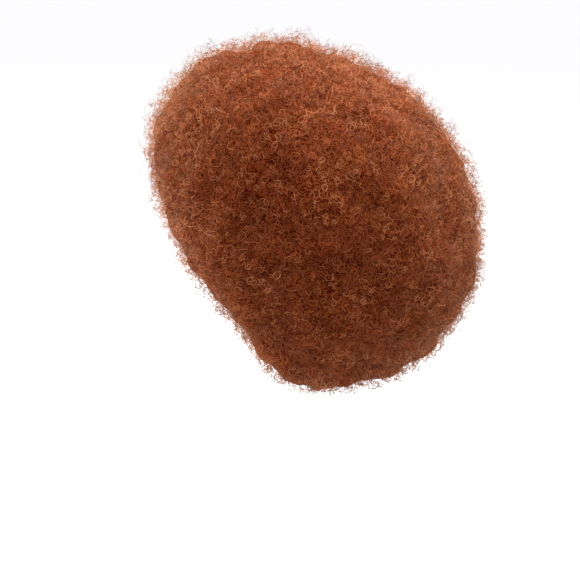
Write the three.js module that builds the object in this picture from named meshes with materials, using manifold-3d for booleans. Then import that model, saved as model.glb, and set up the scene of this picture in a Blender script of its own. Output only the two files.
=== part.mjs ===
// A large round afro wig, held as a head wears it: a net cap with an elastic edge band,
// and one deep body of hair that stands out from the cap all round and is open at the
// face and the neck. Millimetres, +Z up. The origin is the inside of the cap's crown,
// where the top of the head touches it. The face looks along -Y, and the wearer's left
// side is +X.
import * as THREE from "three";
import { mergeVertices } from "three/addons/utils/BufferGeometryUtils.js";
import Module from "manifold-3d";

const wasm = await Module();
wasm.setup();

// Sizes of the head that the cap is cut for
const HEAD_WIDTH = 152;
const HEAD_DEPTH = 194;
const CROWN_TO_WIDEST = 92;
const WIDEST_TO_CHIN = 128;
const NECK_WIDTH = 118;
const NECK_DEPTH = 126;
const NECK_SET_BACK = 20;

// Sizes of the cap and its band
const CAP_DROP = 165;
const CAP_WALL = 2;
const BAND_WIDTH = 10;
const BAND_WALL = 3;
const SEAT_GAP = 0.3;

// Height of the hair, and its reach from the crown of the head
const HAIR_HEIGHT = 404;
const HAIR_ABOVE = 158;
const HAIR_BELOW = HAIR_HEIGHT - HAIR_ABOVE;
const HAIR_SIDE = 210;
const HAIR_BACK = 238;
const HAIR_FRONT = 168;

// The locks that the outside of the hair is gathered in, and how far they stand out
const LOCK_COUNT = 220;
const LOCK_WIDTH = 70;
const LOCK_FLATNESS = 0.7;
const LOCK_RISE = 8;
const LOCK_UNEVENNESS = 5;
const LOCK_WANDER = 0.12;
const BODY_SUNK = 8;

// The opening that the face looks out of, wider towards the front
const FACE_WIDTH = 132;
const FACE_TOP_DROP = 60;
const FACE_DROP = HAIR_BELOW + 2 * LOCK_WIDTH - FACE_TOP_DROP;
const FACE_FLARE = 34;
const FACE_FLARE_RUN = 130;

// The locks that bulge into the opening
const EDGE_LOCK_PITCH = 42;
const EDGE_LOCK_WIDTH = 54;
const EDGE_LOCK_RISE = 6;

// How finely the curved surfaces are cut into facets
const ROUND_STEPS = 28;
const CAP_ROWS = 7;
const HEAD_ROWS_BELOW_CAP = 3;
const BODY_STEPS = 20;
const BODY_RINGS = 13;
const CROWN_SHARE = 0.01;
const CHIN_SHARE = 0.98;
const AREA_STRIPS = 200;
const TRAIT_COUNT = 1000;

// The cap's edge from the middle of the forehead (0 degrees) round to the nape (180).
// drop is a share of CAP_DROP, measured down from the crown.
const CAP_EDGE = [
  { angle: 0, drop: 0.33 },
  { angle: 26, drop: 0.34 },
  { angle: 46, drop: 0.43 },
  { angle: 64, drop: 0.62 },
  { angle: 78, drop: 0.77 },
  { angle: 90, drop: 0.74 },
  { angle: 102, drop: 0.64 },
  { angle: 116, drop: 0.69 },
  { angle: 134, drop: 0.83 },
  { angle: 156, drop: 0.95 },
  { angle: 180, drop: 1 },
];

// Level sections of the hair, from the underside to the top. level is a share of the
// whole height and side is a share of HAIR_SIDE. front is a share of HAIR_FRONT, and is
// negative behind the crown of the head. back is a share of HAIR_BACK, and so is middle,
// the place where a section is widest.
const HAIR_SECTIONS = [
  { level: 0, side: 0.32, front: -0.24, back: 0.46, middle: 0.34 },
  { level: 0.02, side: 0.49, front: -0.17, back: 0.61, middle: 0.34 },
  { level: 0.07, side: 0.655, front: -0.08, back: 0.76, middle: 0.32 },
  { level: 0.14, side: 0.775, front: 0.04, back: 0.865, middle: 0.295 },
  { level: 0.23, side: 0.86, front: 0.22, back: 0.955, middle: 0.26 },
  { level: 0.33, side: 0.94, front: 0.44, back: 1, middle: 0.2 },
  { level: 0.44, side: 1, front: 0.71, back: 1, middle: 0.15 },
  { level: 0.55, side: 0.99, front: 0.89, back: 0.965, middle: 0.1 },
  { level: 0.65, side: 0.945, front: 0.98, back: 0.89, middle: 0.06 },
  { level: 0.75, side: 0.87, front: 1, back: 0.785, middle: 0.01 },
  { level: 0.84, side: 0.745, front: 0.93, back: 0.64, middle: -0.05 },
  { level: 0.92, side: 0.56, front: 0.78, back: 0.43, middle: -0.09 },
  { level: 0.97, side: 0.38, front: 0.59, back: 0.22, middle: -0.12 },
  { level: 1, side: 0.16, front: 0.38, back: -0.02, middle: -0.13 },
];

// Half widths of the face opening, as shares of half of FACE_WIDTH. drop is a share of
// FACE_DROP, measured down from the top of the opening.
const FACE_OUTLINE = [
  { drop: 0, half: 0 },
  { drop: 0.012, half: 0.42 },
  { drop: 0.047, half: 0.74 },
  { drop: 0.11, half: 0.94 },
  { drop: 0.22, half: 1 },
  { drop: 0.37, half: 0.94 },
  { drop: 1, half: 0.92 },
];

// A smooth reading of one column of a table, at a place in another column.
function read(table, by, column, at) {
  const last = table.length - 1;
  let i = table.findIndex((row) => row[by] > at) - 1;
  if (i < -1 || at >= table[last][by]) i = last - 1;
  i = THREE.MathUtils.clamp(i, 0, last - 1);
  const share = THREE.MathUtils.clamp(
    (at - table[i][by]) / (table[i + 1][by] - table[i][by]), 0, 1);
  const slope = (k) => {
    const a = table[Math.max(k - 1, 0)];
    const b = table[Math.min(k + 1, last)];
    return (b[column] - a[column]) / (b[by] - a[by]);
  };
  const run = table[i + 1][by] - table[i][by];
  const s2 = share * share;
  const s3 = s2 * share;
  return (2 * s3 - 3 * s2 + 1) * table[i][column] + (3 * s2 - 2 * s3) * table[i + 1][column]
    + ((s3 - 2 * s2 + share) * slope(i) + (s3 - s2) * slope(i + 1)) * run;
}

// A closed surface through rings of points. Its two ends are closed by fans round their
// middles, or met end to end if the rings go round in a loop.
function loft(rings, { loop = false } = {}) {
  const count = rings[0].length;
  const points = rings.flat();
  const faces = [];
  const joins = loop ? rings.length : rings.length - 1;
  for (let i = 0; i < joins; i++) {
    const low = i * count;
    const high = ((i + 1) % rings.length) * count;
    for (let j = 0; j < count; j++) {
      const k = (j + 1) % count;
      faces.push(low + j, low + k, high + k, low + j, high + k, high + j);
    }
  }
  if (!loop) {
    const close = (first, turned) => {
      const middle = new THREE.Vector3();
      for (let j = 0; j < count; j++) middle.addScaledVector(points[first + j], 1 / count);
      points.push(middle);
      for (let j = 0; j < count; j++) {
        const pair = [first + j, first + ((j + 1) % count)];
        if (turned) pair.reverse();
        faces.push(...pair, points.length - 1);
      }
    };
    close(0, true);
    close((rings.length - 1) * count, false);
  }
  const geometry = new THREE.BufferGeometry().setFromPoints(points);
  geometry.setIndex(faces);
  return geometry;
}

function solidOf(geometry) {
  const bare = new THREE.BufferGeometry();
  bare.setAttribute("position", geometry.getAttribute("position"));
  bare.setIndex(geometry.getIndex());
  const merged = mergeVertices(bare, 1e-3);
  const vertProperties = new Float32Array(merged.getAttribute("position").array);
  const triVerts = new Uint32Array(merged.getIndex().array);
  return new wasm.Manifold(new wasm.Mesh({ numProp: 3, vertProperties, triVerts }));
}

function geometryOf(solid) {
  const { vertProperties, triVerts } = solid.getMesh();
  const geometry = new THREE.BufferGeometry();
  geometry.setAttribute("position", new THREE.BufferAttribute(vertProperties, 3));
  geometry.setIndex(new THREE.BufferAttribute(triVerts, 1));
  geometry.computeVertexNormals();
  return geometry;
}

// A repeatable number from 0 to 1 for each lock and each of its traits.
function scatter(item, trait) {
  return THREE.MathUtils.seededRandom(item * TRAIT_COUNT + trait);
}

// The head, as an egg that is grown by offset. tilt is 0 at the crown and 180 degrees
// under the chin; turn is 0 at the middle of the face and goes round by the left side.
function headPoint(turn, tilt, offset) {
  const upright = tilt < Math.PI / 2 ? CROWN_TO_WIDEST : WIDEST_TO_CHIN;
  return new THREE.Vector3(
    (HEAD_WIDTH / 2 + offset) * Math.sin(tilt) * Math.sin(turn),
    -(HEAD_DEPTH / 2 + offset) * Math.sin(tilt) * Math.cos(turn),
    (upright + offset) * Math.cos(tilt) - CROWN_TO_WIDEST,
  );
}

// The tilt at which the cap ends, less a strip of that width measured up the head.
function edgeTilt(turn, strip = 0) {
  const degrees = THREE.MathUtils.radToDeg(turn);
  const drop = CAP_DROP * read(CAP_EDGE, "angle", "drop", Math.min(degrees, 360 - degrees));
  const below = drop - CROWN_TO_WIDEST;
  const tilt = Math.acos(-below / (below < 0 ? CROWN_TO_WIDEST : WIDEST_TO_CHIN));
  return tilt - strip / ((HEAD_DEPTH + HEAD_WIDTH) / 4);
}

function turns(steps) {
  return Array.from({ length: steps }, (_, j) => (j * 2 * Math.PI) / steps);
}

// A ring round the head, at a tilt that is worked out for each turn.
function headRing(tiltAt, offset) {
  return turns(ROUND_STEPS).map((turn) => headPoint(turn, tiltAt(turn), offset));
}

// Rings up the head from the foot of the cap to its crown.
function capRings(offset) {
  const strip = BAND_WIDTH + SEAT_GAP;
  const shares = Array.from({ length: CAP_ROWS }, (_, i) => 1 - i / CAP_ROWS);
  return [...shares, CROWN_SHARE].map(
    (share) => headRing((turn) => share * edgeTilt(turn, strip), offset));
}

// The foot and the top of the band.
function bandRings(offset) {
  return [0, BAND_WIDTH].map((strip) => headRing((turn) => edgeTilt(turn, strip), offset));
}

function netCap() {
  return solidOf(loft([...capRings(0).reverse(), ...capRings(CAP_WALL)]));
}

function edgeBand() {
  const rings = [...bandRings(CAP_WALL), ...bandRings(CAP_WALL - BAND_WALL).reverse()];
  return solidOf(loft(rings, { loop: true }));
}

// The room that the hair leaves for the capped head and the neck.
function headRoom() {
  const offset = CAP_WALL + SEAT_GAP;
  const below = Array.from({ length: HEAD_ROWS_BELOW_CAP }, (_, i) => headRing(
    (turn) => THREE.MathUtils.lerp(Math.PI * CHIN_SHARE, edgeTilt(turn), i / HEAD_ROWS_BELOW_CAP),
    offset,
  ));
  const head = solidOf(loft([...below, ...bandRings(offset), ...capRings(offset)]));
  const neckTop = -CROWN_TO_WIDEST - WIDEST_TO_CHIN / 4;
  const neckFoot = -HAIR_BELOW - LOCK_WIDTH;
  const neck = new THREE.CylinderGeometry(1, 1, neckTop - neckFoot, ROUND_STEPS);
  neck.rotateX(Math.PI / 2);
  neck.scale(NECK_WIDTH / 2, NECK_DEPTH / 2, 1);
  neck.translate(0, NECK_SET_BACK, (neckTop + neckFoot) / 2);
  return head.add(solidOf(neck));
}

// How far the face opening has widened at a distance in front of the crown.
function flareAt(forward) {
  return FACE_FLARE * THREE.MathUtils.clamp((forward - HEAD_DEPTH / 4) / FACE_FLARE_RUN, 0, 2);
}

function faceHalfWidth(forward, down) {
  const share = (down - FACE_TOP_DROP + flareAt(forward)) / FACE_DROP;
  if (share <= 0) return 0;
  return (FACE_WIDTH / 2) * read(FACE_OUTLINE, "drop", "half", share) + flareAt(forward);
}

// One upright outline of the face opening, from its foot on the right up and over to
// its foot on the left.
function faceRing(forward) {
  const flare = flareAt(forward);
  const side = (sign) => FACE_OUTLINE.slice(1).map((row) => new THREE.Vector3(
    sign * ((FACE_WIDTH / 2) * row.half + flare),
    -forward,
    -FACE_TOP_DROP + flare - row.drop * FACE_DROP,
  ));
  const top = new THREE.Vector3(0, -forward, -FACE_TOP_DROP + flare);
  return [...side(-1).reverse(), top, ...side(1)];
}

function faceRoom() {
  const stations = [0, 0.25, 0.6, 1, 1.7];
  const rings = stations.map((share) => faceRing(HEAD_DEPTH / 8 + share * FACE_FLARE_RUN));
  return solidOf(loft(rings.reverse()));
}

// The outside of the hair before its locks are added. height runs from 0 under the hair
// to 1 at its top, and turn as on the head.
function hairPoint(height, turn) {
  const column = (name) => read(HAIR_SECTIONS, "level", name, height);
  const middle = HAIR_BACK * column("middle");
  const front = HAIR_FRONT * column("front");
  const back = HAIR_BACK * column("back");
  const along = Math.cos(turn) > 0 ? front + middle : back - middle;
  return new THREE.Vector3(
    HAIR_SIDE * column("side") * Math.sin(turn),
    middle - along * Math.cos(turn),
    THREE.MathUtils.lerp(-HAIR_BELOW, HAIR_ABOVE, height),
  );
}

// Heights that divide the outside of the hair into bands of equal area.
function evenHeights(count) {
  const areas = [0];
  for (let i = 1; i <= AREA_STRIPS; i++) {
    const low = (i - 1) / AREA_STRIPS;
    const high = i / AREA_STRIPS;
    const slope = hairPoint(low, Math.PI / 2).distanceTo(hairPoint(high, Math.PI / 2));
    const across = hairPoint(high, Math.PI).distanceTo(hairPoint(high, 0));
    areas.push(areas[i - 1] + slope * across);
  }
  return Array.from({ length: count }, (_, k) => {
    const wanted = (areas[AREA_STRIPS] * (k + 0.5)) / count;
    return areas.findIndex((area) => area >= wanted) / AREA_STRIPS;
  });
}

// The way that the surface faces, from two short steps across it.
function outwardAt(height, turn) {
  const step = 0.01;
  const above = hairPoint(Math.min(height + step, 1), turn);
  const below = hairPoint(Math.max(height - step, 0), turn);
  const round = hairPoint(height, turn + step).sub(hairPoint(height, turn - step));
  return round.cross(above.sub(below)).normalize();
}

// The backing that the locks are fused to, sunk beneath their tips.
function hairBody() {
  const side = HAIR_SECTIONS.map((row) => hairPoint(row.level, Math.PI / 2));
  const spaced = new THREE.CatmullRomCurve3(side).getSpacedPoints(BODY_RINGS - 1);
  const rings = spaced.map((point) => {
    const height = THREE.MathUtils.inverseLerp(-HAIR_BELOW, HAIR_ABOVE, point.z);
    const level = THREE.MathUtils.clamp(height, 0, 1);
    return turns(BODY_STEPS).map(
      (turn) => hairPoint(level, turn).addScaledVector(outwardAt(level, turn), -BODY_SUNK));
  });
  return solidOf(loft(rings));
}

// A rounded lock whose tip stands proud of the surface that it grows through.
function lock(at, outward, width, rise, turned) {
  const half = width / 2;
  const depth = half * LOCK_FLATNESS;
  const shape = new THREE.OctahedronGeometry(1, 1);
  shape.deleteAttribute("normal");
  shape.deleteAttribute("uv");
  const merged = mergeVertices(shape, 1e-4);
  merged.scale(half, half, depth);
  merged.rotateZ(turned * Math.PI);
  const upright = new THREE.Vector3(0, 0, 1);
  merged.applyQuaternion(new THREE.Quaternion().setFromUnitVectors(upright, outward));
  const centre = at.clone().addScaledVector(outward, rise - depth);
  merged.translate(centre.x, centre.y, centre.z);
  return solidOf(merged);
}

// Locks over the whole outside, set round it in a spiral so that none stands in a row.
function outerLocks() {
  const goldenTurn = Math.PI * (3 - Math.sqrt(5));
  return evenHeights(LOCK_COUNT).flatMap((height, k) => {
    const turn = k * goldenTurn + LOCK_WANDER * (scatter(k, 1) - 0.5);
    const at = hairPoint(height, turn);
    const clear = Math.abs(at.x) - faceHalfWidth(-at.y, -at.z);
    if (at.y < 0 && clear < LOCK_WIDTH / 4) return [];
    const rise = LOCK_RISE + LOCK_UNEVENNESS * (scatter(k, 2) - 0.5);
    const width = LOCK_WIDTH * (0.92 + 0.16 * scatter(k, 3));
    return [lock(at, outwardAt(height, turn), width, rise, scatter(k, 4))];
  });
}

// Locks that bulge into the face opening from its walls.
function edgeLocks() {
  const rows = Math.round(FACE_FLARE_RUN / EDGE_LOCK_PITCH);
  return Array.from({ length: rows }, (_, i) => {
    const forward = HEAD_DEPTH / 2 + (i + 0.3) * EDGE_LOCK_PITCH;
    const ring = new THREE.CatmullRomCurve3(faceRing(forward));
    const count = Math.round(ring.getLength() / EDGE_LOCK_PITCH);
    const middle = new THREE.Vector3(0, -forward, -FACE_TOP_DROP - FACE_WIDTH / 2);
    return ring.getSpacedPoints(count).map((at, j) => {
      const inward = new THREE.Vector3(0, at.y, Math.min(middle.z, at.z)).sub(at).normalize();
      const turned = scatter(i + 11, j);
      return lock(at, inward, EDGE_LOCK_WIDTH, EDGE_LOCK_RISE * (0.6 + 0.8 * turned), turned);
    });
  }).flat();
}

function hair() {
  const grown = wasm.Manifold.union([hairBody(), ...outerLocks()]);
  const opening = faceRoom().subtract(wasm.Manifold.union(edgeLocks()));
  return grown.subtract(opening).subtract(headRoom());
}

function finish(color, roughness) {
  return new THREE.MeshStandardMaterial({ color, roughness, metalness: 0 });
}

function named(name, solid, material) {
  const mesh = new THREE.Mesh(geometryOf(solid), material);
  mesh.name = name;
  return mesh;
}

const wig = new THREE.Group();
wig.add(
  named("net_cap", netCap(), finish(0x3a2620, 0.85)),
  named("edge_band", edgeBand(), finish(0x2a1c18, 0.8)),
  named("afro_hair", hair(), finish(0x96462a, 0.9)),
);

export default wig;
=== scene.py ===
# %% [markdown]
# # A large ginger afro wig
# The real wig is a net cap with an elastic band round its edge, and a deep round mass of
# tightly crimped hair that stands out from it by more than a hand's width. Nothing on it
# is stiff, so the eye reads it by three things: the round outline with its soft scallops,
# the dark hollows between the tufts, and thousands of fine rings and springs of hair.
# This lesson keeps the solid model for the size and place of every piece, carves the soft
# body from it, and grows the curls on that body.

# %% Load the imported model
import math

import bpy
import numpy as np
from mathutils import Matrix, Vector, noise
from mathutils.bvhtree import BVHTree


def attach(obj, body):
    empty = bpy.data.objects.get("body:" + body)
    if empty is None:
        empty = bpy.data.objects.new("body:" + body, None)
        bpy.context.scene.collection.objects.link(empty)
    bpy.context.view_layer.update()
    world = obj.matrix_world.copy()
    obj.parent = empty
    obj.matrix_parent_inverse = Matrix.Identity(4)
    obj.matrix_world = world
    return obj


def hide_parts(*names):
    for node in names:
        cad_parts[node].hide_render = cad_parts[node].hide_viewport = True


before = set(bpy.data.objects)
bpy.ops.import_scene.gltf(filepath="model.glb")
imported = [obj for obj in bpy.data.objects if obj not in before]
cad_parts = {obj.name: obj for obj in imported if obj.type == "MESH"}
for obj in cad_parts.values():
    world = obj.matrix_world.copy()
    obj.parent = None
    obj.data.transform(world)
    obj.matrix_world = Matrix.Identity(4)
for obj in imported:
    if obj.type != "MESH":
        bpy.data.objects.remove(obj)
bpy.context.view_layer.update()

# %% [markdown]
# ## The camera
# The photograph looks at the wig from behind its left side and from a little above, with
# a lens a bit longer than the eye's. The camera stands where that view puts it, measured
# from the inside of the cap's crown, and tips down towards the floor. It comes first, so
# that every later step can be judged in the same frame.

# %% Set up the camera
MM = 0.001
VIEW_AZIMUTH = math.radians(120)
VIEW_TIP = math.radians(19.7)
VIEW_SWING = math.radians(0.23)
VIEW_DISTANCE = 1.236
VIEW_HEIGHT = 0.2865
LENS_MM = 62.07

bpy.ops.object.camera_add(
    location=(
        VIEW_DISTANCE * math.sin(VIEW_AZIMUTH),
        -VIEW_DISTANCE * math.cos(VIEW_AZIMUTH),
        VIEW_HEIGHT,
    ),
    rotation=(math.pi / 2 - VIEW_TIP, 0, VIEW_AZIMUTH + VIEW_SWING),
)
camera = bpy.context.object
camera.name = "view"
camera.data.lens = LENS_MM
camera.data.sensor_width = 36
bpy.context.scene.camera = camera
print("camera at", [round(v, 3) for v in camera.location])

# %% [markdown]
# ## Working on one piece at a time
# Blender's operators act on whatever is selected, and the loaded model starts selected.
# These two helpers make one piece the only selected and active one, and turn its
# modifiers into plain mesh.

# %% Helpers for operators
def only(piece):
    bpy.ops.object.select_all(action="DESELECT")
    piece.select_set(True)
    bpy.context.view_layer.objects.active = piece


def settle(piece):
    only(piece)
    for modifier in list(piece.modifiers):
        bpy.ops.object.modifier_apply(modifier=modifier.name)
    print(piece.name, len(piece.data.polygons), "faces")


# %% [markdown]
# ## The soft body of the hair
# Under the loose curls, an afro is a felted mass with tufts and hollows. It could be
# sculpted by hand, but the solid model already holds its form in fused locks. So a copy
# of that solid is remeshed into small even faces, smoothed until the facets are gone, and
# drawn in a little so that it stays clear of the cap.

# %% Copy the solid and remesh it
BODY_VOXEL = 5 * MM
CLEAR_OF_CAP = 1.5 * MM
MERGE_WITHIN = 0.01 * MM
SMOOTH_ROUNDS = 40

hair_body = bpy.data.objects.new("hair_body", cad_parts["afro_hair"].data.copy())
bpy.context.scene.collection.objects.link(hair_body)
hair_body.data.materials.clear()

only(hair_body)
bpy.ops.object.mode_set(mode="EDIT")
bpy.ops.mesh.select_all(action="SELECT")
bpy.ops.mesh.remove_doubles(threshold=MERGE_WITHIN)
bpy.ops.object.mode_set(mode="OBJECT")

remesh = hair_body.modifiers.new("even faces", "REMESH")
remesh.mode = "VOXEL"
remesh.voxel_size = BODY_VOXEL
soften = hair_body.modifiers.new("round the facets", "SMOOTH")
soften.factor = 0.5
soften.iterations = SMOOTH_ROUNDS
inset = hair_body.modifiers.new("clear of the cap", "DISPLACE")
inset.mid_level = 0
inset.strength = -CLEAR_OF_CAP
settle(hair_body)

# %% [markdown]
# ## Where the body may grow
# The body is hollow for the wearer's head and neck. Where its inner wall lies on the cap
# it must stay smooth and bare, and everywhere else it grows tufts and curls, right up to
# the hairline. So each vertex looks for the nearest point of the cap or its band: if that
# point is close and straight in front of it, the vertex is on the bare wall. The answer
# is kept in a vertex group, which the later modifiers read.

# %% Measure where hair may grow
NEAR_CAP = 20 * MM
BARE_WITHIN = 12 * MM
FACING_FROM, FACING_SPAN = 0.2, 0.4
GROWTH_LEVELS = 10


def coordinates(piece):
    points = np.empty(len(piece.data.vertices) * 3)
    piece.data.vertices.foreach_get("co", points)
    return points.reshape(-1, 3)


def directions(piece):
    normals = np.empty(len(piece.data.vertices) * 3)
    piece.data.vertices.foreach_get("normal", normals)
    return normals.reshape(-1, 3)


def search_tree(node_names):
    corners, faces = [], []
    for name in node_names:
        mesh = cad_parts[name].data
        first = len(corners)
        corners += [v.co.copy() for v in mesh.vertices]
        faces += [[first + i for i in face.vertices] for face in mesh.polygons]
    return BVHTree.FromPolygons(corners, faces)


cap_tree = search_tree(["net_cap", "edge_band"])


def may_grow(point, normal):
    """0 on the wall that lies on the cap, 1 clear of it."""
    near = cap_tree.find_nearest(Vector(point), NEAR_CAP)[0]
    if near is None:
        return 1
    towards = near - Vector(point)
    facing = Vector(normal).dot(towards.normalized())
    bare = min(max((facing - FACING_FROM) / FACING_SPAN, 0), 1)
    close = min(max((NEAR_CAP - towards.length) / (NEAR_CAP - BARE_WITHIN), 0), 1)
    return 1 - bare * close


looks = zip(coordinates(hair_body), directions(hair_body))
growth = np.array([may_grow(point, normal) for point, normal in looks])
group = hair_body.vertex_groups.new(name="growth")
for level in range(GROWTH_LEVELS + 1):
    members = np.flatnonzero(np.round(growth * GROWTH_LEVELS) == level)
    group.add(members.tolist(), level / GROWTH_LEVELS, "REPLACE")
print("vertices with hair", int((growth > 0).sum()), "of", len(growth))

# %% [markdown]
# Curls on the walls of the hollow must leave room for the wearer's head, so they stay
# shorter there. An egg stands for the head and a column for the neck, and how far a point
# is from them, as a multiple of their size, tells which curls these are.

# %% Measure the room for the head
HEAD_MIDDLE = np.array([0, 0, -92]) * MM
HEAD_RADII = (76 * MM, 97 * MM, 92 * MM)
CHIN_RADIUS = 128 * MM
NECK_MIDDLE_Y = 20 * MM
NECK_RADII = (59 * MM, 63 * MM)


def from_head(points):
    """1 on the surface of the egg or the column, and more outside it."""
    x, y, z = np.moveaxis(points - HEAD_MIDDLE, -1, 0)
    down = np.where(z > 0, HEAD_RADII[2], CHIN_RADIUS)
    head = np.sqrt((x / HEAD_RADII[0]) ** 2 + (y / HEAD_RADII[1]) ** 2 + (z / down) ** 2)
    neck = np.sqrt((x / NECK_RADII[0]) ** 2 + ((y - NECK_MIDDLE_Y) / NECK_RADII[1]) ** 2)
    return np.minimum(head, np.where(z < 0, neck, head))


farthest = from_head(coordinates(hair_body)).max()
print("the hair reaches", round(float(farthest), 2), "times as far as the head")

# %% [markdown]
# ## Room for the curls
# Where hair grows, the body is first drawn in further, to leave room for the curls that
# will stand on it. The vertex group from above keeps the bare wall where it is.

# %% Draw the body in
ROOM_FOR_CURLS = 4.1 * MM

inset = hair_body.modifiers.new("room for curls", "DISPLACE")
inset.vertex_group = "growth"
inset.mid_level = 0
inset.strength = -ROOM_FOR_CURLS
settle(hair_body)
before_tufts = coordinates(hair_body)

# %% [markdown]
# ## Calm directions
# A mass of hair lets light far in, so it is lit by its large form and much less by each
# lump. The large form's directions come from averaging every vertex normal with those of
# its neighbours many times. They are kept from before the tufts are raised, and used for
# the shading later.

# %% Average the directions
CALM_ROUNDS = 30


def unit(vectors):
    return vectors / np.linalg.norm(vectors, axis=-1, keepdims=True)


def calm_down(piece, vectors, rounds):
    """Average every direction with those of its neighbours, over and over."""
    mesh = piece.data
    ends = np.empty(len(mesh.edges) * 2, int)
    mesh.edges.foreach_get("vertices", ends)
    one, two = ends.reshape(-1, 2).T
    for _ in range(rounds):
        total = vectors.copy()
        np.add.at(total, one, vectors[two])
        np.add.at(total, two, vectors[one])
        vectors = unit(total)
    return vectors


body_directions = directions(hair_body)
calm_directions = calm_down(hair_body, body_directions, CALM_ROUNDS)
turned = np.arccos((body_directions * calm_directions).sum(1).clip(-1, 1))
print("directions turned", round(math.degrees(turned.mean()), 1), "degrees")

# %% [markdown]
# ## Tufts
# The real hair's tufts are smaller than the locks of the solid, so two sizes of soft
# noise push the growing part in and out. Displace modifiers do that evenly, and each can
# be retuned by a single row of the table.

# %% Raise the tufts
TUFTS = [
    {"name": "tufts", "size": 24 * MM, "depth": 8 * MM},
    {"name": "tuftlets", "size": 9 * MM, "depth": 3.5 * MM},
]

for row in TUFTS:
    texture = bpy.data.textures.new(row["name"], "CLOUDS")
    texture.noise_scale = row["size"]
    texture.noise_depth = 1
    push = hair_body.modifiers.new(row["name"], "DISPLACE")
    push.texture = texture
    push.texture_coords = "LOCAL"
    push.vertex_group = "growth"
    push.mid_level = 0.5
    push.strength = row["depth"]
settle(hair_body)

# %% [markdown]
# The push that the noise gave each vertex is worth keeping: where the surface went in, the
# hair lies in shade, and the materials paint that shade in as darker colour. It is stored
# on the mesh as an attribute from 0 in a hollow to 1 on a tuft, for the material to read.

# %% Store the hollows as an attribute
HOLLOW_RANGE = 4 * MM

after_tufts = coordinates(hair_body)
normals = directions(hair_body)
pushed = ((after_tufts - before_tufts) * normals).sum(1)
tuft_height = np.clip(0.5 + pushed / (2 * HOLLOW_RANGE), 0, 1)
attribute = hair_body.data.attributes.new("tuft_height", "FLOAT", "POINT")
attribute.data.foreach_set("value", tuft_height)
print("pushed from", round(pushed.min() / MM, 1), "to", round(pushed.max() / MM, 1), "mm")

# %% [markdown]
# Now the calm directions are mixed into the ones that the body is shaded with, so that the
# tufts stay soft. At the sharp edges of the hollow the two point different ways, and a
# mix would turn the shading away from the real surface. So the calm share fades out as
# they part, and is gone where they are 60 degrees or more apart.

# %% Mix the directions for shading
CALM_SHARE = 1.5
AGREE_FROM = 0.5  # the cosine of 60 degrees

only(hair_body)
bpy.ops.object.shade_smooth()
alike = (normals * calm_directions).sum(1)
agreement = np.clip((alike - AGREE_FROM) / (1 - AGREE_FROM), 0, 1)[:, None]
shown_directions = unit(normals + CALM_SHARE * agreement * calm_directions)
hair_body.data.normals_split_custom_set_from_vertices(shown_directions.tolist())
print("calm share in use", round(float(agreement.mean()), 2))

# %% [markdown]
# ## Where the curls grow
# Curls must cover the hair evenly. Picking faces purely by chance leaves bald
# spots and clumps, so the faces are laid end to end by area, and a root is taken at equal
# steps along that line with a little jitter.

# %% Pick the roots of the curls
CURL_COUNT = 12300
GROWS_FROM = 0.5
chance = np.random.default_rng(7)


def pick_roots(piece, count):
    """Evenly spread points, with the true and the shown way out and the tuft height."""
    mesh = piece.data
    mesh.calc_loop_triangles()
    corners = np.empty(len(mesh.loop_triangles) * 3, int)
    mesh.loop_triangles.foreach_get("vertices", corners)
    corners = corners.reshape(-1, 3)
    corners = corners[growth[corners].min(1) > GROWS_FROM]
    a, b, c = (after_tufts[corners[:, i]] for i in range(3))
    area = np.linalg.norm(np.cross(b - a, c - a), axis=1) / 2
    line = np.cumsum(area)
    at = (np.arange(count) + chance.random(count)) / count * line[-1]
    face = np.searchsorted(line, at)
    u, v = chance.random((2, count))
    fold = u + v > 1
    u, v = np.where(fold, 1 - u, u), np.where(fold, 1 - v, v)
    weights = np.stack([1 - u - v, u, v], 1)[..., None]
    roots = (after_tufts[corners[face]] * weights).sum(1)
    out = (normals[corners[face]] * weights).sum(1)
    shown = (shown_directions[corners[face]] * weights).sum(1)
    height = (tuft_height[corners[face]] * weights[..., 0]).sum(1)
    print("curls over", round(line[-1], 3), "square metres")
    return roots, unit(out), unit(shown), height


roots, root_normals, shown_normals, root_heights = pick_roots(hair_body, CURL_COUNT)

# %% [markdown]
# ## The path of one curl
# Crimped hair shows three forms. Most strands lie as open rings, a few millimetres across,
# turned every way. Others are tighter springs that lean outwards, and some loose fine
# strands stand well clear of the rest and make the haze at the outline. All are a helix,
# so one function draws them: it takes a middle, an axis, a radius and a rise for each
# curl. No real curl is a perfect coil, so the radius swells and shrinks along the way,
# and a slow wave in a direction of its own kinks the strand out of its coil.

# %% Draw the paths
STEPS = 12
SWELL_MIDDLE, SWELL_REACH = 0.8, 0.4
KINK = 0.3
KINK_WAVES = 1.7


def curl_paths(middle, axis, radius, rise, turns, phase):
    """Points along each helix, and the way from its axis to each point."""
    side = unit(np.cross(axis, unit(chance.normal(size=axis.shape))))
    other = np.cross(axis, side)
    t = np.linspace(0, 1, STEPS + 1)[None, :]
    angle = phase[:, None] + 2 * np.pi * turns[:, None] * t
    swell = SWELL_MIDDLE + SWELL_REACH * np.sin(np.pi * t + phase[:, None])
    away = np.cos(angle)[..., None] * side[:, None] + np.sin(angle)[..., None] * other[:, None]
    along = (t - 0.5) * rise[:, None]
    reach = radius[:, None] * swell
    path = middle[:, None] + axis[:, None] * along[..., None] + away * reach[..., None]
    kink = chance.normal(size=axis.shape) * radius[:, None] * KINK
    wave = np.sin(KINK_WAVES * np.pi * t + 2 * phase[:, None])
    return path + kink[:, None] * wave[..., None], away
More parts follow.
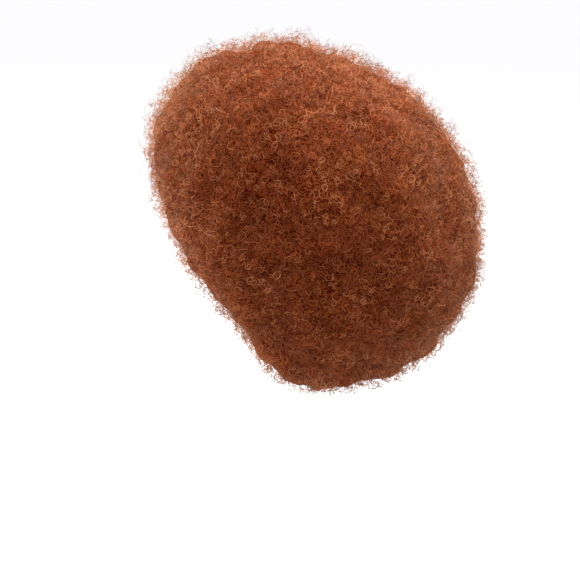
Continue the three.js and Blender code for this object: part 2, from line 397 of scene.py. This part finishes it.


# %% [markdown]
# A table holds what makes the three forms differ. Radius, rise and lift above the body
# are the lowest and highest value in millimetres, and each curl gets a chance value
# between them. Strand is half the thickness of the hair, thicker than a real one, so that
# a limited number of curls still covers the body. Lean says how much a curl points
# outwards, tint makes it lighter or darker, and depth is a painted shade that dims the
# fine loose strands.

# %% The three forms of curl
CURLS = [
    {
        "form": "rings", "part": 0.43, "radius": (2.4, 5.8), "rise": (3, 10),
        "lift": (1, 8), "strand": 0.31, "lean": 0, "tint": 0.05, "depth": 1,
    },
    {
        "form": "springs", "part": 0.24, "radius": (1.8, 3.4), "rise": (6, 14),
        "lift": (3, 11), "strand": 0.26, "lean": 0.9, "tint": 0.05, "depth": 0.95,
    },
    {
        "form": "flyaways", "part": 0.33, "radius": (2.4, 5.6), "rise": (8, 18),
        "lift": (6, 18), "strand": 0.21, "lean": 0.9, "tint": -0.08, "depth": 0.62,
    },
]

form = chance.choice(len(CURLS), CURL_COUNT, p=[row["part"] for row in CURLS])
for number, row in enumerate(CURLS):
    print(int((form == number).sum()), row["form"])

# %% [markdown]
# Every curl now gets its own sizes. A tight curl has more turns than a wide one, as the
# same length of hair is in both. Lift is pushed towards its low end, because most hair
# lies close, and on the walls of the hollow it is cut down.

# %% Size and place every curl
LOW_LIFT = 1.5
MOST_TURNS, FEWER_PER_MM, TURNS_RANGE = 2.4, 0.18, (1.3, 2.0)
WALL_FROM, WALL_SPAN, LEAST_LIFT = 1.05, 0.25, 0.25

share = chance.random((4, CURL_COUNT))


def by_form(column):
    return np.array([row[column] for row in CURLS])[form]


def between(column, part):
    low, high = by_form(column).T * MM
    return low + (high - low) * part


radius = between("radius", share[0])
rise = between("rise", share[1])
lift = between("lift", share[2] ** LOW_LIFT)
strand = by_form("strand") * MM
turns = np.clip(MOST_TURNS - FEWER_PER_MM * radius / MM, *TURNS_RANGE)
wander = unit(chance.normal(size=(CURL_COUNT, 3)))
axis = unit(by_form("lean")[:, None] * root_normals + wander)
on_wall = np.clip((from_head(roots) - WALL_FROM) / WALL_SPAN, LEAST_LIFT, 1)
middle = roots + root_normals * (lift * on_wall)[:, None]
paths, away = curl_paths(middle, axis, radius, rise, turns, share[3] * 2 * np.pi)
print("hair drawn", round(float((2 * np.pi * radius * turns).sum()), 1), "metres")

# %% [markdown]
# A few curls at the hairline would reach through the cap or hang inside it. They are
# found by the distance of their points from the cap and from the egg and the column, and
# left out.

# %% Leave out the curls that reach the cap or the head
CAP_MARGIN = 0.8 * MM
NAPE_LEVEL = -125 * MM
HEAD_ROOM, NAPE_ROOM = 1.0, 0.82
NEAR_HEAD = 1.5

room = from_head(paths)
least_room = np.where(paths[..., 2] < NAPE_LEVEL, NAPE_ROOM, HEAD_ROOM)
kept = (room > least_room).all(1)
for i in np.flatnonzero(kept & (room.min(1) < NEAR_HEAD)):
    gaps = [cap_tree.find_nearest(Vector(point), NEAR_CAP)[3] for point in paths[i]]
    kept[i] = min(gap if gap is not None else NEAR_CAP for gap in gaps) > CAP_MARGIN
print("left out", int((~kept).sum()), "curls")

# %% [markdown]
# ## Colour for each curl
# Dyed hair is never one colour: whole tufts are lighter or redder than their neighbours,
# and single strands differ again. Each strand is also painted darker near its root, a
# painted shade for the deep hair. The tint of a tuft comes from slow noise over the wig,
# with a chance part for each strand, and it is painted a little lighter on top of a tuft,
# where more light falls.

# %% Work out the tint
TUFT_TINT_SIZE = 38 * MM
TUFT_TINT_PLACE = 3.1
MIDDLE_TINT, TUFT_TINT, STRAND_TINT, TUFT_TOP_LIGHT = 0.46, 0.3, 0.16, 0.08
TINT_RANGE = (0.02, 0.76)


def slow_noise(points, size, offset):
    return np.array([noise.noise(Vector(p) / size + Vector((offset, 0, 0))) for p in points])


tuft_tint = slow_noise(roots, TUFT_TINT_SIZE, TUFT_TINT_PLACE)
tint = MIDDLE_TINT + TUFT_TINT * tuft_tint + STRAND_TINT * chance.normal(size=CURL_COUNT)
# Painted light: the top of a tuft is tinted a little lighter.
tint = tint + by_form("tint") + TUFT_TOP_LIGHT * (root_heights - 0.5)
tint = np.clip(tint, *TINT_RANGE)
print("tint", round(tint.mean(), 2), "+-", round(tint.std(), 2))

# %% [markdown]
# The depth of a point comes from how far it stands above the body, and it sets a painted
# shade: the lower a point lies, the darker it is painted, and a curl in a hollow is
# painted darker as a whole. Tint and depth are written as the two coordinates of a UV
# map, so that one small chart of colours dresses every curl.

# %% Work out the depth and its painted shade
DEPTH_FROM = -6 * MM
DEPTH_TO = 8 * MM
DEPTH_RANGE = (0.02, 0.96)
SHADE_IN_HOLLOW, LESS_SHADE_ON_TUFT = 0.6, 0.4

stand = ((paths - roots[:, None]) * root_normals[:, None]).sum(-1)
# Painted shade: a point low in the hair, a curl in a hollow and a loose strand are darkened.
depth = np.clip((stand - DEPTH_FROM) / (DEPTH_TO - DEPTH_FROM), *DEPTH_RANGE)
depth = depth * (by_form("depth") * (SHADE_IN_HOLLOW + LESS_SHADE_ON_TUFT * root_heights))[:, None]
print("depth", round(depth.mean(), 2), "+-", round(depth.std(), 2))

# %% [markdown]
# ## From paths to strands
# A strand this fine needs only three sides. Every path gets a triangle at each of its
# points, turned with the curl so that it never twists, and the triangles are joined into
# a closed tube with a lid at both ends. Hair scatters light far into the mass, so that it
# shades as one soft round form and not as thousands of wires. To get that, the normals of
# a strand are leaned towards the way the body faces at its root. The whole head of hair
# is far too much for one mesh, so it is made in pieces. On the colour chart the three
# sides lie a hair's breadth apart, so that every face has some room there.

# %% Build tubes from paths
SIDES = 3
TIP_SLIM, MIDDLE_MORE = 0.6, 0.4
UV_HALF = 0.006
SOFTNESS = 1.0


def tube_points(path, away, thickness):
    """A triangle of points round each point of each path, thinner towards the ends."""
    forward = unit(np.gradient(path, axis=1))
    first = unit(away - forward * (away * forward).sum(-1, keepdims=True))
    second = np.cross(forward, first)
    t = np.linspace(0, 1, path.shape[1])
    slim = TIP_SLIM + MIDDLE_MORE * np.sqrt(np.sin(np.pi * np.clip(t, 0.02, 0.98)))
    turn = 2 * np.pi * np.arange(SIDES) / SIDES
    cosine, sine = np.cos(turn)[:, None], np.sin(turn)[:, None]
    ring = cosine * first[..., None, :] + sine * second[..., None, :]
    size = thickness[:, None, None, None] * slim[None, :, None, None]
    return path[..., None, :] + ring * size, ring


def strand_mesh(name, path, away, thickness, tint, depth, outward):
    """One piece of closed tubes, with its colour chart and its soft normals."""
    count, stations = path.shape[:2]
    points, ring = tube_points(path, away, thickness)
    index = np.arange(points[..., 0].size).reshape(count, stations, SIDES)
    ahead = np.roll(index, -1, axis=2)
    walls = np.stack([index[:, :-1], ahead[:, :-1], ahead[:, 1:], index[:, 1:]], -1)
    lids = np.concatenate([index[:, 0, ::-1], index[:, -1]])
    loops = np.concatenate([walls.reshape(-1), lids.reshape(-1)])
    sizes = np.concatenate([np.full(walls.size // 4, 4), np.full(len(lids), 3)])

    mesh = bpy.data.meshes.new(name)
    mesh.vertices.add(index.size)
    mesh.vertices.foreach_set("co", points.reshape(-1))
    mesh.loops.add(len(loops))
    mesh.loops.foreach_set("vertex_index", loops)
    mesh.polygons.add(len(sizes))
    mesh.polygons.foreach_set("loop_start", np.cumsum(sizes) - sizes)
    mesh.polygons.foreach_set("loop_total", sizes)
    mesh.polygons.foreach_set("use_smooth", np.ones(len(sizes), bool))

    apart = np.array([-UV_HALF, 0, UV_HALF])
    u = np.broadcast_to(tint[:, None, None] + apart, index.shape).reshape(-1)[loops]
    v = np.broadcast_to(depth[..., None], index.shape).reshape(-1)[loops].copy()
    lid_loops = len(loops) - lids.size
    v[lid_loops + 1::SIDES] += 2 * UV_HALF
    chart = mesh.uv_layers.new(name="OFBake")
    chart.data.foreach_set("uv", np.stack([u, v], 1).reshape(-1))
    mesh.update()
    mesh.validate()
    soft = unit(ring + SOFTNESS * outward[:, None, None])
    mesh.normals_split_custom_set_from_vertices(soft.reshape(-1, 3).tolist())

    piece = bpy.data.objects.new(name, mesh)
    bpy.context.scene.collection.objects.link(piece)
    triangles = 2 * (walls.size // 4) + len(lids)
    print(name, count, "curls", triangles, "triangles")
    return piece


# %% [markdown]
# The curls are shared out by where they stand, as seen from the middle of the hair: top,
# bottom and four sides. Each region then stays under 200,000 triangles.

# %% Grow the six regions of curls
REGION_MIDDLE = np.array([0, 28, -45]) * MM
STEEP_FROM = 0.64

toward = unit(roots - REGION_MIDDLE)
steep = np.abs(toward[:, 2]) > STEEP_FROM
sideways = np.abs(toward[:, 0]) > np.abs(toward[:, 1])
REGIONS = {
    "crown_curls": steep & (toward[:, 2] > 0),
    "nape_curls": steep & (toward[:, 2] < 0),
    "left_curls": ~steep & sideways & (toward[:, 0] > 0),
    "right_curls": ~steep & sideways & (toward[:, 0] < 0),
    "back_curls": ~steep & ~sideways & (toward[:, 1] > 0),
    "front_curls": ~steep & ~sideways & (toward[:, 1] < 0),
}

curl_pieces = [
    strand_mesh(
        name, paths[here], away[here], strand[here], tint[here], depth[here], shown_normals[here]
    )
    for name, here in ((name, kept & region) for name, region in REGIONS.items())
]

# %% [markdown]
# ## One dye and painted shade for all the hair
# The body and the curls have to match, so they share a group of nodes that turns a tint
# and a depth into a colour. The chart runs from dark auburn through ginger brown to the
# light copper of the palest strands, and the depth paints shade over it, darker towards the
# root, where the inner hair lies in shadow. This painted shade takes away more green and
# blue than red, because light that has passed through many strands grows redder as it
# grows weaker. Only the colour comes out of the group: the shader stays in each material.

# %% Build the dye and painted shade as a node group
TINTS = [
    (0.0, (0.16, 0.016, 0.004)),
    (0.3, (0.26, 0.043, 0.011)),
    (0.55, (0.41, 0.102, 0.030)),
    (0.8, (0.55, 0.21, 0.088)),
    (1.0, (0.70, 0.31, 0.17)),
]
# Painted shade: a point deep in the hair, near its root, is darkened as if in shadow.
DEPTH_SHADES = [
    (0.0, (0.12, 0.07, 0.04)),
    (0.3, (0.36, 0.29, 0.24)),
    (0.6, (0.82, 0.78, 0.76)),
    (0.9, (1.0, 1.0, 1.0)),
]


def ramp(tree, stops, place):
    node = tree.nodes.new("ShaderNodeValToRGB")
    node.location = place
    elements = node.color_ramp.elements
    while len(elements) < len(stops):
        elements.new(0.5)
    for element, (position, colour) in zip(elements, stops):
        element.position = position
        element.color = (*colour, 1)
    return node


def new_group(name, inputs, outputs):
    tree = bpy.data.node_groups.new(name, "ShaderNodeTree")
    for label, kind, value in inputs:
        socket = tree.interface.new_socket(label, in_out="INPUT", socket_type=kind)
        if value is not None:
            socket.default_value = value
    for label, kind in outputs:
        tree.interface.new_socket(label, in_out="OUTPUT", socket_type=kind)
    start = tree.nodes.new("NodeGroupInput")
    end = tree.nodes.new("NodeGroupOutput")
    start.location, end.location = (-700, 0), (700, 0)
    return tree, start, end


def math_node(tree, operation, *values):
    node = tree.nodes.new("ShaderNodeMath")
    node.operation = operation
    for socket, value in zip(node.inputs, values):
        if isinstance(value, (int, float)):
            socket.default_value = value
        else:
            tree.links.new(value, socket)
    return node.outputs[0]


dye_and_shade, dye_and_shade_in, dye_and_shade_out = new_group(
    "hair dye",
    [("Tint", "NodeSocketFloat", 0.5), ("Depth", "NodeSocketFloat", 1.0)],
    [("Color", "NodeSocketColor")],
)
tints = ramp(dye_and_shade, TINTS, (-300, 150))
depth_shade_ramp = ramp(dye_and_shade, DEPTH_SHADES, (-300, -150))
shade = dye_and_shade.nodes.new("ShaderNodeMix")
shade.data_type = "RGBA"
shade.blend_type = "MULTIPLY"
shade.inputs["Factor"].default_value = 1
dye_and_shade.links.new(dye_and_shade_in.outputs["Tint"], tints.inputs["Fac"])
dye_and_shade.links.new(dye_and_shade_in.outputs["Depth"], depth_shade_ramp.inputs["Fac"])
dye_and_shade.links.new(tints.outputs["Color"], shade.inputs["A"])
dye_and_shade.links.new(depth_shade_ramp.outputs["Color"], shade.inputs["B"])
dye_and_shade.links.new(shade.outputs["Result"], dye_and_shade_out.inputs["Color"])
print("dye group", len(dye_and_shade.nodes), "nodes")

# %% [markdown]
# ## The material of the curls
# Each strand reads its place on the colour chart from its UV map. Hair scatters light
# softly along its edges, which a little golden sheen gives, and dyed synthetic hair is
# neither wet nor chalky, so the roughness is in the middle. Its highlights are weak and
# warm, because a thick modelled strand with a white highlight would look like wire.

# %% Dress the curls
GLOSS = 0.12
GLOSS_TINT = (1.0, 0.7, 0.45, 1)
SHEEN_ROUGHNESS = 0.45
SHEEN_TINT = (1.0, 0.77, 0.46, 1)


def new_material(name, roughness, sheen):
    material = bpy.data.materials.new(name)
    material.use_nodes = True
    shader = material.node_tree.nodes["Principled BSDF"]
    shader.inputs["Roughness"].default_value = roughness
    shader.inputs["Specular IOR Level"].default_value = GLOSS
    shader.inputs["Specular Tint"].default_value = GLOSS_TINT
    shader.inputs["Sheen Weight"].default_value = sheen
    shader.inputs["Sheen Roughness"].default_value = SHEEN_ROUGHNESS
    shader.inputs["Sheen Tint"].default_value = SHEEN_TINT
    return material, material.node_tree, shader


def place_group(tree, group, place=(-400, 0)):
    node = tree.nodes.new("ShaderNodeGroup")
    node.node_tree = group
    node.location = place
    return node


curl_hair, tree, shader = new_material("curled hair", 0.6, 0.45)
chart = tree.nodes.new("ShaderNodeUVMap")
chart.uv_map = "OFBake"
split = tree.nodes.new("ShaderNodeSeparateXYZ")
colour = place_group(tree, dye_and_shade)
tree.links.new(chart.outputs["UV"], split.inputs["Vector"])
tree.links.new(split.outputs["X"], colour.inputs["Tint"])
tree.links.new(split.outputs["Y"], colour.inputs["Depth"])
tree.links.new(colour.outputs["Color"], shader.inputs["Base Color"])
for piece in curl_pieces:
    piece.data.materials.append(curl_hair)
print("dressed", len(curl_pieces), "pieces of curls")

# %% [markdown]
# ## The material of the body
# Between the curls one sees more hair, too fine and too deep to model. Its swirls are
# drawn like the contour lines of a map: noise makes hills, and a sine of their height
# makes rings round every hill, sharpened until they are thin light strands on a dark
# ground. Two such maps lie over each other, so that the strands cross as in a tangle.

# %% Draw swirls as contour lines
swirls, swirls_in, swirls_out = new_group(
    "hair swirls",
    [
        ("Vector", "NodeSocketVector", None),
        ("Scale", "NodeSocketFloat", 80.0),
        ("Rings", "NodeSocketFloat", 50.0),
        ("Thinness", "NodeSocketFloat", 3.0),
    ],
    [("Strands", "NodeSocketFloat")],
)
SWIRL_MAPS = [{"shift": 0.0, "stretch": 1.0}, {"shift": 0.7, "stretch": 1.35}]


def contour_strands(shift, stretch):
    moved = swirls.nodes.new("ShaderNodeVectorMath")
    moved.inputs[1].default_value = (shift, shift, shift)
    swirls.links.new(swirls_in.outputs["Vector"], moved.inputs[0])
    hills = swirls.nodes.new("ShaderNodeTexNoise")
    hills.inputs["Detail"].default_value = 2
    hills.inputs["Roughness"].default_value = 0.5
    hills.inputs["Distortion"].default_value = 0.6
    swirls.links.new(moved.outputs["Vector"], hills.inputs["Vector"])
    scale = math_node(swirls, "MULTIPLY", swirls_in.outputs["Scale"], stretch)
    swirls.links.new(scale, hills.inputs["Scale"])
    rings = math_node(swirls, "MULTIPLY", hills.outputs["Fac"], swirls_in.outputs["Rings"])
    wave = math_node(swirls, "MULTIPLY_ADD", math_node(swirls, "SINE", rings), 0.5, 0.5)
    return math_node(swirls, "POWER", wave, swirls_in.outputs["Thinness"])


tangle = math_node(swirls, "MAXIMUM", *(contour_strands(**row) for row in SWIRL_MAPS))
swirls.links.new(tangle, swirls_out.inputs["Strands"])
print("swirls group", len(swirls.nodes), "nodes")

# %% [markdown]
# The body is the deep part of the hair, so it is painted dark with shade: a drawn strand
# lightens it, partly by its own lighter tint and partly by less painted shade, the top of
# a tuft is painted a little lighter, and slow noise shifts the tint from tuft to tuft.
# The strands raise the surface as well. It is felt and not one strand, so it has no gloss.

# %% Dress the body
FELT_TINT = {"least": 0.15, "strand": 0.15, "patch": 0.45}
FELT_SHADE_DEPTH = {"least": 0.01, "strand": 0.36, "tuft": 0.15}
STRAND_RELIEF = 1.2 * MM

felted_hair, tree, shader = new_material("felted hair", 0.8, 0.1)
shader.inputs["Specular IOR Level"].default_value = 0
where = tree.nodes.new("ShaderNodeTexCoord")
drawn = place_group(tree, swirls, (-800, 0))
drawn.inputs["Scale"].default_value = 80
drawn.inputs["Rings"].default_value = 50
drawn.inputs["Thinness"].default_value = 3
patches = tree.nodes.new("ShaderNodeTexNoise")
patches.inputs["Scale"].default_value = 1 / TUFT_TINT_SIZE
patches.inputs["Detail"].default_value = 1
stored = tree.nodes.new("ShaderNodeAttribute")
stored.attribute_name = "tuft_height"
colour = place_group(tree, dye_and_shade)
tree.links.new(where.outputs["Object"], drawn.inputs["Vector"])
tree.links.new(where.outputs["Object"], patches.inputs["Vector"])
strands = drawn.outputs["Strands"]
strand_tint = math_node(tree, "MULTIPLY_ADD", strands, FELT_TINT["strand"], FELT_TINT["least"])
body_tint = math_node(
    tree, "MULTIPLY_ADD", patches.outputs["Fac"], FELT_TINT["patch"], strand_tint
)
# Painted shade: the ground between the drawn strands is darkest, and tuft tops are painted
# lighter.
strand_shade_depth = math_node(
    tree, "MULTIPLY_ADD", strands, FELT_SHADE_DEPTH["strand"], FELT_SHADE_DEPTH["least"]
)
body_shade_depth = math_node(
    tree, "MULTIPLY_ADD", stored.outputs["Fac"], FELT_SHADE_DEPTH["tuft"], strand_shade_depth
)
tree.links.new(body_tint, colour.inputs["Tint"])
tree.links.new(body_shade_depth, colour.inputs["Depth"])
tree.links.new(colour.outputs["Color"], shader.inputs["Base Color"])
bump = tree.nodes.new("ShaderNodeBump")
bump.inputs["Strength"].default_value = 0.5
bump.inputs["Distance"].default_value = STRAND_RELIEF
tree.links.new(strands, bump.inputs["Height"])
tree.links.new(bump.outputs["Normal"], shader.inputs["Normal"])
hair_body.data.materials.append(felted_hair)
print("dressed", hair_body.name, "with", len(tree.nodes), "nodes")

# %% [markdown]
# ## The cap and its band
# Both are hidden when the wig is worn and show only from below. The cap is a stretch net
# of fine diamonds, and the band is woven elastic with ribs round the head. The solid
# model has their true shapes, so they stay, and get a knit that is drawn by the same
# node group with its own values: two sets of slanting lines that cross.

# %% Knit the net and the elastic
knit, knit_in, knit_out = new_group(
    "knit",
    [
        ("Vector", "NodeSocketVector", None),
        ("Across", "NodeSocketFloat", 1000.0),
        ("Up", "NodeSocketFloat", 1000.0),
    ],
    [("Height", "NodeSocketFloat")],
)
axes = knit.nodes.new("ShaderNodeSeparateXYZ")
knit.links.new(knit_in.outputs["Vector"], axes.inputs["Vector"])
round_head = math_node(knit, "ARCTAN2", axes.outputs["X"], axes.outputs["Y"])
across = math_node(knit, "MULTIPLY", round_head, knit_in.outputs["Across"])
upward = math_node(knit, "MULTIPLY", axes.outputs["Z"], knit_in.outputs["Up"])
slants = [math_node(knit, way, across, upward) for way in ("ADD", "SUBTRACT")]
rising, falling = (math_node(knit, "ABSOLUTE", math_node(knit, "SINE", way)) for way in slants)
knit.links.new(math_node(knit, "MINIMUM", rising, falling), knit_out.inputs["Height"])
print("knit group", len(knit.nodes), "nodes")

# %% [markdown]
# The diamonds of the net are about 3.5 mm wide, and the band has no slant, which leaves
# ribs 2 mm apart. The threads run where the pattern is lowest, so the ramp starts light
# and the bump is turned over.

# %% Dress the cap and the band
KNITS = {
    "net_cap": {
        "across": 70.0,
        "up": 900.0,
        "dark": (0.016, 0.008, 0.005),
        "light": (0.075, 0.035, 0.02),
    },
    "edge_band": {
        "across": 0.0,
        "up": 1500.0,
        "dark": (0.010, 0.006, 0.004),
        "light": (0.05, 0.028, 0.018),
    },
}
KNIT_RELIEF = 0.5 * MM

for node_name, row in KNITS.items():
    cloth, tree, shader = new_material(node_name.replace("_", " ") + " knit", 0.85, 0.08)
    where = tree.nodes.new("ShaderNodeTexCoord")
    pattern = place_group(tree, knit, (-700, 0))
    pattern.inputs["Across"].default_value = row["across"]
    pattern.inputs["Up"].default_value = row["up"]
    colours = ramp(tree, [(0.1, row["light"]), (0.6, row["dark"])], (-350, 100))
    raised = tree.nodes.new("ShaderNodeBump")
    raised.inputs["Strength"].default_value = 0.6
    raised.inputs["Distance"].default_value = KNIT_RELIEF
    raised.invert = True
    tree.links.new(where.outputs["Object"], pattern.inputs["Vector"])
    tree.links.new(pattern.outputs["Height"], colours.inputs["Fac"])
    tree.links.new(colours.outputs["Color"], shader.inputs["Base Color"])
    tree.links.new(pattern.outputs["Height"], raised.inputs["Height"])
    tree.links.new(raised.outputs["Normal"], shader.inputs["Normal"])
    node_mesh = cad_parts[node_name].data
    node_mesh.materials.clear()
    node_mesh.materials.append(cloth)
    print("dressed", node_name)

# %% [markdown]
# ## A pale studio
# The photograph has a plain white ground and soft light, most of it from above and from
# the sides, so that the middle of the hair is deeper in colour than its rim. A very wide
# floor far below the wig fills the picture from any side, and glows a little, which
# keeps it even and pale out to the horizon.

# %% Lay the floor
FLOOR_DROP = 0.62
FLOOR_SIZE = 80

bpy.ops.mesh.primitive_plane_add(size=FLOOR_SIZE, location=(0, 0, -FLOOR_DROP))
floor = bpy.context.object
floor.name = "floor"
paper = bpy.data.materials.new("pale paper")
paper.use_nodes = True
paper_shader = paper.node_tree.nodes["Principled BSDF"]
paper_shader.inputs["Base Color"].default_value = (0.5, 0.5, 0.51, 1)
paper_shader.inputs["Roughness"].default_value = 0.9
paper_shader.inputs["Emission Color"].default_value = (0.98, 0.98, 1.0, 1)
paper_shader.inputs["Emission Strength"].default_value = 0.74
floor.data.materials.append(paper)
print("floor at", -FLOOR_DROP)

# %% [markdown]
# One large lamp overhead lights the top, and two more stand behind the wig to the left
# and right of the view, for the rim. The left one hangs low and is the stronger, because
# the hair is lit from below there. The world gives a weak light, which is weakest on the
# near side of the room and gives the middle of the hair its depth. To the camera the
# world shows itself as an even white, like the wall of the studio.

# %% Hang the lights
LAMPS = [
    {"name": "overhead", "place": (-0.35, 0.0, 1.7), "size": 2.2, "power": 120},
    {"name": "rim_right", "place": (-1.1, 1.3, 0.4), "size": 1.4, "power": 22},
    {"name": "rim_left", "place": (0.35, -1.45, -0.35), "size": 1.4, "power": 74},
]
WALL_LIGHT = 0.95
NEAR_LIGHT = 0.1
FAR_LIGHT = 0.8

for row in LAMPS:
    bpy.ops.object.light_add(type="AREA", location=row["place"])
    lamp = bpy.context.object
    lamp.name = row["name"]
    lamp.data.energy = row["power"]
    lamp.data.size = row["size"]
    lamp.rotation_euler = (-Vector(row["place"])).to_track_quat("-Z", "Y").to_euler()
    print(row["name"], row["power"], "watts")

world = bpy.data.worlds.new("studio")
world.use_nodes = True
room = world.node_tree
sky = room.nodes["Background"]
sky.inputs["Color"].default_value = (1.0, 1.0, 1.0, 1)
direction = room.nodes.new("ShaderNodeTexCoord")
near_side = room.nodes.new("ShaderNodeVectorMath")
near_side.operation = "DOT_PRODUCT"
near_side.inputs[1].default_value = (math.sin(VIEW_AZIMUTH), -math.cos(VIEW_AZIMUTH), 0)
room.links.new(direction.outputs["Generated"], near_side.inputs[0])
middle_light = (NEAR_LIGHT + FAR_LIGHT) / 2
fill = math_node(
    room, "MULTIPLY_ADD", near_side.outputs["Value"], NEAR_LIGHT - middle_light, middle_light
)
ray = room.nodes.new("ShaderNodeLightPath")
seen = room.nodes.new("ShaderNodeMix")
seen.inputs["B"].default_value = WALL_LIGHT
room.links.new(ray.outputs["Is Camera Ray"], seen.inputs["Factor"])
room.links.new(fill, seen.inputs["A"])
room.links.new(seen.outputs["Result"], sky.inputs["Strength"])
bpy.context.scene.world = world
bpy.context.scene.view_settings.view_transform = "Standard"

# %% [markdown]
# ## Join everything to the frame
# The body and the curls stand in for the hair's solid, and each piece rides on the one
# body of the wig.

# %% Ride and replace
for piece in [hair_body, *curl_pieces]:
    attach(piece, "root")
    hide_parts("afro_hair")
